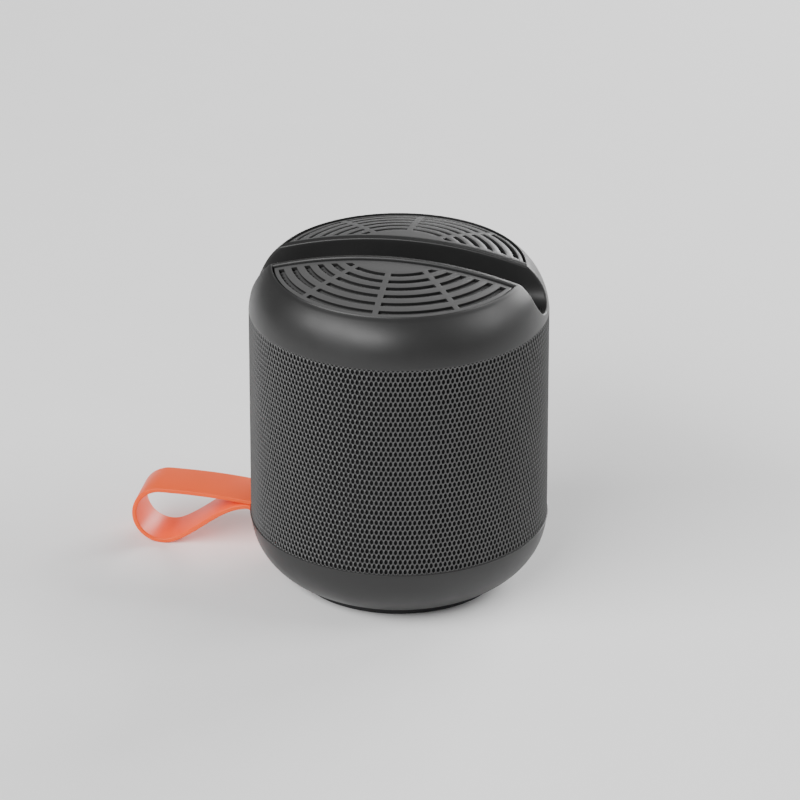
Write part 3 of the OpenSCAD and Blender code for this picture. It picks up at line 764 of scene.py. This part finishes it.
class SPEAKER_OT_sleeve(bpy.types.Operator):
    """Builds the perforated sleeve as a mesh of small diamonds"""
    bl_idname = "speaker.sleeve"
    bl_label = "Sleeve"

    def execute(self, context):
        build_sleeve()
        return {"FINISHED"}


# ---------- strap ----------

# Where the strap's middle lies along Y, in millimetres
STRAP_Y = 8.1


def bezier(a, b, c, d, n):
    """Points along a Bezier curve, in n steps."""
    out = []
    for i in range(n + 1):
        t = i / n
        s = 1 - t
        out.append(a * s ** 3 + b * 3 * s * s * t + c * 3 * s * t * t + d * t ** 3)
    return out


def strap_line():
    """Middle line of the strap seen from the front, as (x, z): round the pin, out and round the loop."""
    half = sizes().strap_t * 500
    pin, pin_r, clear = Vector((-35.5, 11.5)), 1.25, 0.08
    wrap = pin_r + clear + half
    # The loop's middle, with the strap's outside on the floor
    middle = Vector((-69.7, 8.7))
    loop = middle.y - half

    def turn(c, r, degrees):
        return c + Vector((math.cos(math.radians(degrees)), math.sin(math.radians(degrees)))) * r

    # The direction in which the strap leaves the pin, and where its lower layer leaves the loop
    tilt, last = 158, 296
    # At the pocket's mouth the two layers lie side by side
    mouth_x, mouth_z, off = -44.5, 14.65, half + 0.125
    up, low = Vector((mouth_x, mouth_z + off)), Vector((mouth_x, mouth_z - off))
    leave, come = turn(pin, wrap, tilt - 90), turn(pin, wrap, tilt + 90)
    along = turn(Vector((0, 0)), 2.4, tilt)
    top, out = middle + Vector((0.5, loop)), turn(middle, loop, last)
    way = turn(Vector((0, 0)), 9, last + 90)
    line = bezier(leave, leave + along, up + Vector((2.6, -0.35)), up, 12)
    line += bezier(up, up + Vector((-9, 1.1)), top + Vector((9, 0)), top, 24)[1:]
    line += [turn(middle, loop, a) for a in range(94, last, 4)]
    line += bezier(out, out + way, low + Vector((-8, -0.6)), low, 26)
    line += bezier(low, low + Vector((2.6, -0.35)), come + along, come, 12)[1:]
    line += [turn(pin, wrap, tilt + 90 + a) for a in range(10, 180, 10)]
    return line


def build_strap():
    s = sizes()
    line = strap_line()
    count = len(line)
    # The section is a flat rectangle with corners of radius r
    half_w, half_t, r = s.strap_w * 500, s.strap_t * 500, 0.32
    section = []
    for cx, cy, start in ((half_w - r, half_t - r, 0), (-half_w + r, half_t - r, 90),
                          (-half_w + r, -half_t + r, 180), (half_w - r, -half_t + r, 270)):
        for i in range(5):
            a = math.radians(start + 22.5 * i)
            section.append((cx + r * math.cos(a), cy + r * math.sin(a)))
    bm = bmesh.new()

    def place(u, v):
        i = round(u * count) % count
        across, out = section[round(v * len(section)) % len(section)]
        way = (line[(i + 1) % count] - line[i - 1]).normalized()
        q = line[i] + Vector((way.y, -way.x)) * out
        return Vector((q.x, STRAP_Y + across, q.y))

    patch(bm, count, len(section), place)
    weld(bm, 0.002)
    for face in bm.faces:
        face.material_index = 1 if abs(face.normal.y) > 0.3 else 0
    made = finish_mesh(bm, "strap_band", "wrist_strap", "strap_silicone", 60, others=["strap_edge"])
    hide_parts("wrist_strap")


class SPEAKER_OT_strap(bpy.types.Operator):
    """Builds the silicone wrist strap with its rounded edges"""
    bl_idname = "speaker.strap"
    bl_label = "Wrist strap"

    def execute(self, context):
        build_strap()
        return {"FINISHED"}


# ---------- base and rear ----------

def build_base_lip():
    """The thin rounded lip at the bottom cap's upper edge, outside the sleeve."""
    s = sizes()
    r, z, thick = s.body_r * 1000 + 0.05, s.sleeve_low * 1000 - 0.02, 0.17
    # It ends at the rear panel, this far to each side of +Y
    half = math.radians(16)
    bm = bmesh.new()

    def tube(u, v):
        a, b = blend(half, 2 * math.pi - half, u), math.pi * (2 * v - 1)
        out = r + thick * math.cos(b)
        return Vector((out * math.sin(a), out * math.cos(a), z + thick * math.sin(b)))

    patch(bm, 240, 8, tube)
    weld(bm)
    finish_mesh(bm, "bottom_cap_lip", "speaker_body", "charcoal_plastic")


class SPEAKER_OT_base(bpy.types.Operator):
    """Rounds the edges of the bottom cap and the foot ring, and adds the lip below the sleeve"""
    bl_idname = "speaker.base"
    bl_label = "Base"

    def execute(self, context):
        softened("bottom_cap_shell", "bottom_cap", "speaker_body", "charcoal_plastic", 0.2, 38)
        softened("foot_ring_pad", "foot_ring", "speaker_body", "pad_rubber", 0.3)
        build_base_lip()
        return {"FINISHED"}


def build_mark(key, z, bars, arcs):
    """A printed mark on a button's curved face. Bars are four corners and arcs are
    (inner radius, outer radius, from, to), in millimetres and degrees round the button's middle."""
    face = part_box(key)[1].y * 1000 + 0.02
    bm = bmesh.new()

    def spot(x, up):
        return Vector((-x, math.sqrt(face * face - x * x), z + up))

    for a, b, c, d in bars:
        def bar(u, v):
            return spot(*blend(blend(Vector(a), Vector(b), u), blend(Vector(d), Vector(c), u), v))
        patch(bm, 6, 2, bar)
    for r0, r1, start, end in arcs:
        def arc(u, v):
            r, t = blend(r0, r1, v), math.radians(blend(start, end, u))
            return spot(r * math.cos(t), r * math.sin(t))
        patch(bm, 24, 1, arc)
    weld(bm)
    for f in bm.faces:
        if f.normal.y < 0:
            f.normal_flip()
    finish_mesh(bm, key + "_mark", key, "button_rubber", finish="mark_ink")


def build_marks():
    """Power, plus, play and minus: strokes 0.3 mm wide, and a filled triangle."""
    across = ((-1.3, -0.17), (1.3, -0.17), (1.3, 0.17), (-1.3, 0.17))
    upright = ((-0.17, -1.3), (0.17, -1.3), (0.17, 1.3), (-0.17, 1.3))
    stem = ((-0.16, 0.2), (0.16, 0.2), (0.16, 1.55), (-0.16, 1.55))
    arrow = ((-0.85, -1.15), (1.2, -0.02), (1.2, 0.02), (-0.85, 1.15))
    marks = {
        "power_button": ([stem], [(0.95, 1.25, 125, 415)]),
        "volume_up_button": ([across, upright], []),
        "play_button": ([arrow], []),
        "volume_down_button": ([across], []),
    }
    for key, (bars, arcs) in marks.items():
        low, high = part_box(key)
        build_mark(key, (low.z + high.z) * 500, bars, arcs)


class SPEAKER_OT_rear(bpy.types.Operator):
    """Rounds the edges of the control panel, the buttons and the port flap, and prints the marks"""
    bl_idname = "speaker.rear"
    bl_label = "Rear panel"

    def execute(self, context):
        spine = softened("panel_spine", "control_panel", "speaker_body", "panel_plastic", 0.2)
        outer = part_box("control_panel")[1].y * 1000
        round_shading(spine, outer)
        for key in ("power_button", "volume_up_button", "play_button", "volume_down_button"):
            cap = softened(key + "_cap", key, key, "button_rubber", 0.35)
            round_shading(cap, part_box(key)[1].y * 1000)
        door = softened("port_flap_door", "port_flap", "port_flap", "flap_rubber", 0.2)
        round_shading(door, outer)
        build_marks()
        return {"FINISHED"}


# ---------- stage ----------

def lamp(name, spot, aim, power, width, height):
    data = bpy.data.lights.new(name, "AREA")
    data.shape = "RECTANGLE"
    data.size, data.size_y = width, height
    data.energy = power
    made = bpy.data.objects.new(name, data)
    made.location = spot
    made.rotation_euler = (Vector(aim) - Vector(spot)).to_track_quat("-Z", "Y").to_euler()
    bpy.context.scene.collection.objects.link(made)


class SPEAKER_OT_stage(bpy.types.Operator):
    """Adds the pale floor, the soft lamps and the camera"""
    bl_idname = "speaker.stage"
    bl_label = "Stage"

    def execute(self, context):
        bm = bmesh.new()
        bmesh.ops.create_grid(bm, x_segments=2, y_segments=2, size=3.0)
        mesh = bpy.data.meshes.new("floor")
        bm.to_mesh(mesh)
        bm.free()
        floor = bpy.data.objects.new("floor", mesh)
        bpy.context.scene.collection.objects.link(floor)
        # Matt paper sweep
        mesh.materials.append(coated("matt_paper", colours().floor, 0.8, 1.5, 0.01, mottle=0.01))
        world = bpy.data.worlds.new("studio")
        world.use_nodes = True
        world.node_tree.nodes["Background"].inputs["Color"].default_value = linear("#f5f5f5")
        world.node_tree.nodes["Background"].inputs["Strength"].default_value = 0.2
        bpy.context.scene.world = world
        lamp("key", (-0.75, -1.0, 1.05), (0, 0, 0.05), 40, 1.9, 0.6)
        lamp("side", (1.15, 0.15, 0.85), (0, 0, 0.05), 11, 0.8, 0.7)
        lamp("rear", (0.6, 1.3, 0.5), (0, 0, 0.07), 26, 1.1, 0.4)
        data = bpy.data.cameras.new("camera")
        data.lens = 254.4
        data.sensor_width = 36
        camera = bpy.data.objects.new("camera", data)
        camera.location = (0.2806, -1.4044, 0.7393)
        aim = Vector((0.00027, 0.00005, 0.0525))
        camera.rotation_euler = (aim - camera.location).to_track_quat("-Z", "Y").to_euler()
        bpy.context.scene.collection.objects.link(camera)
        bpy.context.scene.camera = camera
        return {"FINISHED"}


class SPEAKER_PT_sidebar(bpy.types.Panel):
    """Lists the speaker's sizes, colours and pieces"""
    bl_idname = "SPEAKER_PT_sidebar"
    bl_label = "Speaker"
    bl_space_type = "VIEW_3D"
    bl_region_type = "UI"
    bl_category = "Speaker"

    def draw(self, context):
        for group in (sizes(), colours()):
            box = self.layout.box()
            for name in type(group).__annotations__:
                box.prop(group, name)
        for step in STEPS:
            self.layout.operator(step.bl_idname)


STEPS = (SPEAKER_OT_finishes, SPEAKER_OT_top_cap, SPEAKER_OT_inserts, SPEAKER_OT_sleeve,
         SPEAKER_OT_strap, SPEAKER_OT_base, SPEAKER_OT_rear, SPEAKER_OT_stage)
CLASSES = (SpeakerSizes, SpeakerColours, *STEPS, SPEAKER_PT_sidebar)


def register():
    for made in CLASSES:
        bpy.utils.register_class(made)
    bpy.types.Scene.speaker_sizes = PointerProperty(type=SpeakerSizes)
    bpy.types.Scene.speaker_colours = PointerProperty(type=SpeakerColours)


def unregister():
    del bpy.types.Scene.speaker_colours
    del bpy.types.Scene.speaker_sizes
    for made in reversed(CLASSES):
        bpy.utils.unregister_class(made)


def main():
    register()
    for step in STEPS:
        group, name = step.bl_idname.split(".")
        getattr(getattr(bpy.ops, group), name)()


if __name__ == "__main__":
    main()
